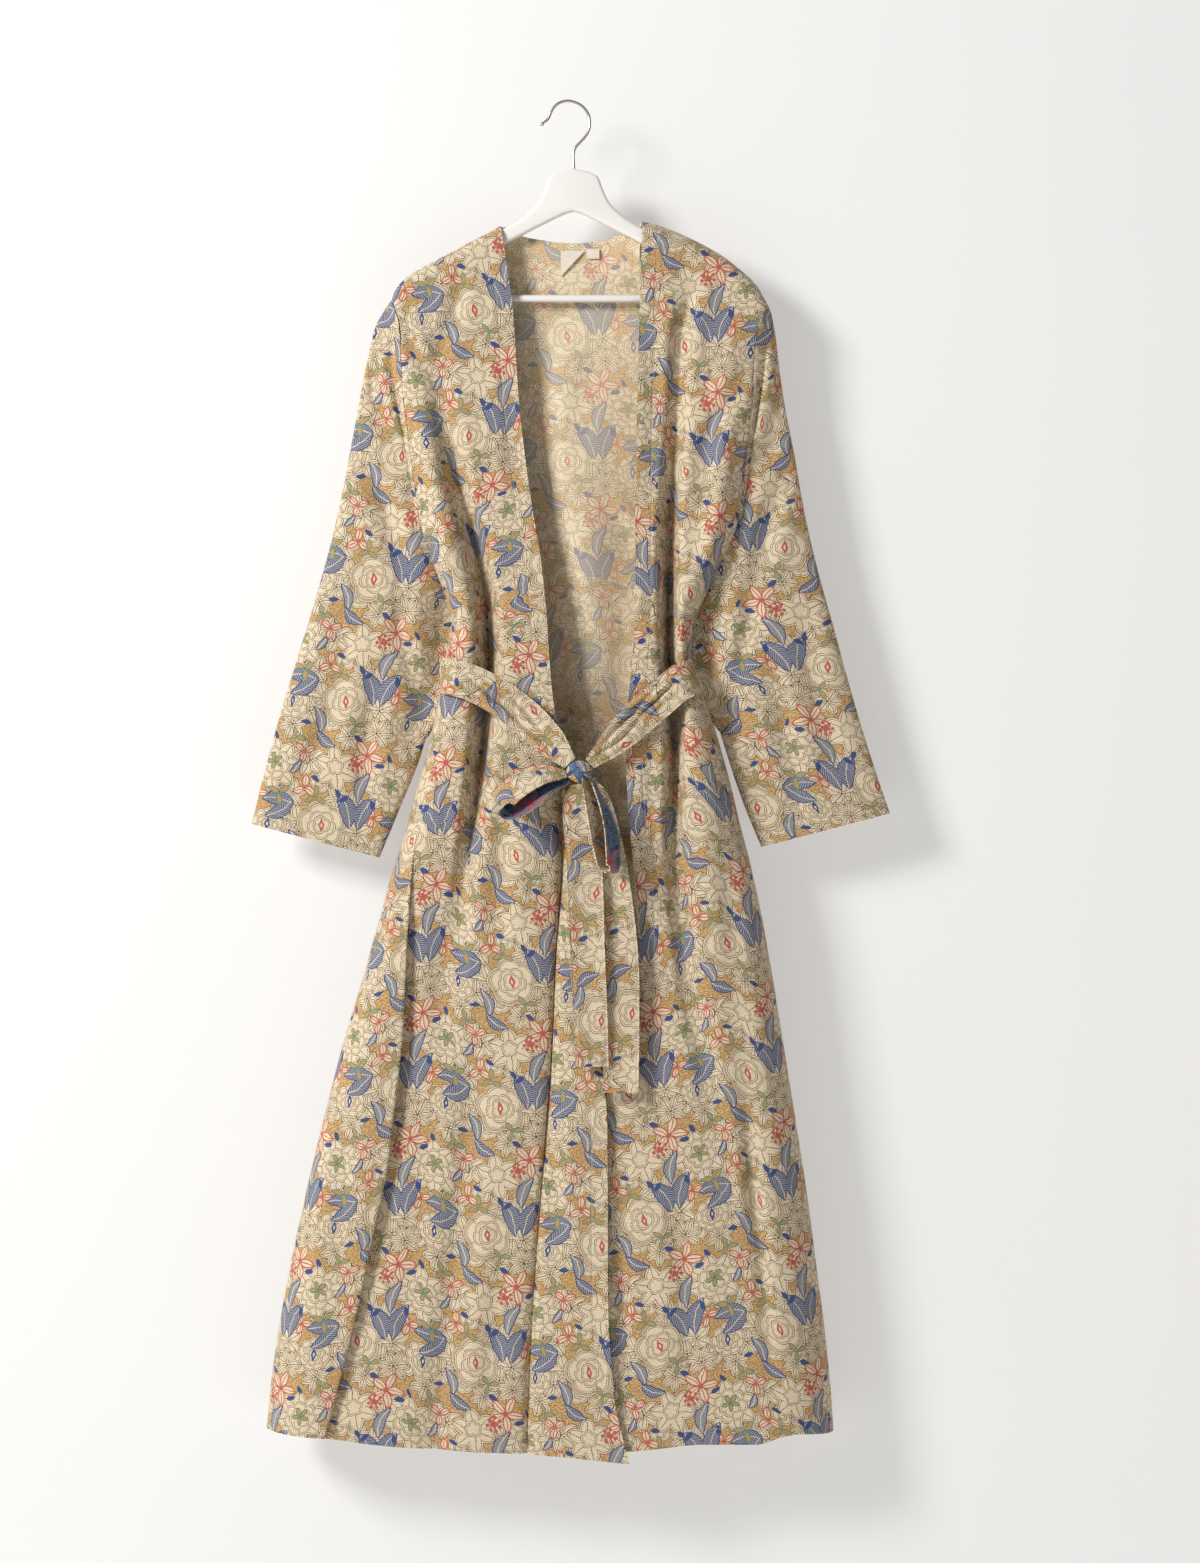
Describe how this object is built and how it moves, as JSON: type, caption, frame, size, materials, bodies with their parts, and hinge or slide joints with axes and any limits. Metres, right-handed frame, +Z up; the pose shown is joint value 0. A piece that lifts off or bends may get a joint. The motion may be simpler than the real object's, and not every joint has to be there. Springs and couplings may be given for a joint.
{
  "type": "beach robe on a clothes hanger",
  "caption": "Long open robe with wide sleeves, a waist seam and a tied belt, hanging on a white hanger with a wire hook and a trouser bar.",
  "frame": {"origin": "the highest point inside the hook, where a rail or peg carries it", "axes": "+Z up, +X to the viewer's right as one looks at the front, the front of the robe faces -Y"},
  "size_m": [0.7289, 0.1537, 1.5443],
  "materials": {
    "printed_cloth": "matt printed plain weave",
    "belt_cloth": "matt printed plain weave, doubled",
    "label_cloth": "woven tape, bare",
    "hanger_paint": "satin white paint on wood",
    "hook_steel": "satin wire"
  },
  "bodies": {
    "root": {"back_bodice": "printed_cloth", "back_skirt": "printed_cloth", "front_bodice_left": "printed_cloth", "front_bodice_right": "printed_cloth", "front_skirt_left": "printed_cloth", "front_skirt_right": "printed_cloth", "sleeve_left_front": "printed_cloth", "sleeve_left_back": "printed_cloth", "sleeve_right_front": "printed_cloth", "sleeve_right_back": "printed_cloth", "belt_left": "belt_cloth", "belt_right": "belt_cloth", "belt_knot": "belt_cloth", "bow_loop_left": "belt_cloth", "bow_loop_right": "belt_cloth", "belt_tail_left": "belt_cloth", "belt_tail_right": "belt_cloth", "neck_label": "label_cloth", "size_tab": "label_cloth", "hanger_body": "hanger_paint", "trouser_bar": "hanger_paint", "hanger_hook": "hook_steel", "hook_bead": "hook_steel"}
  },
  "joints": []
}
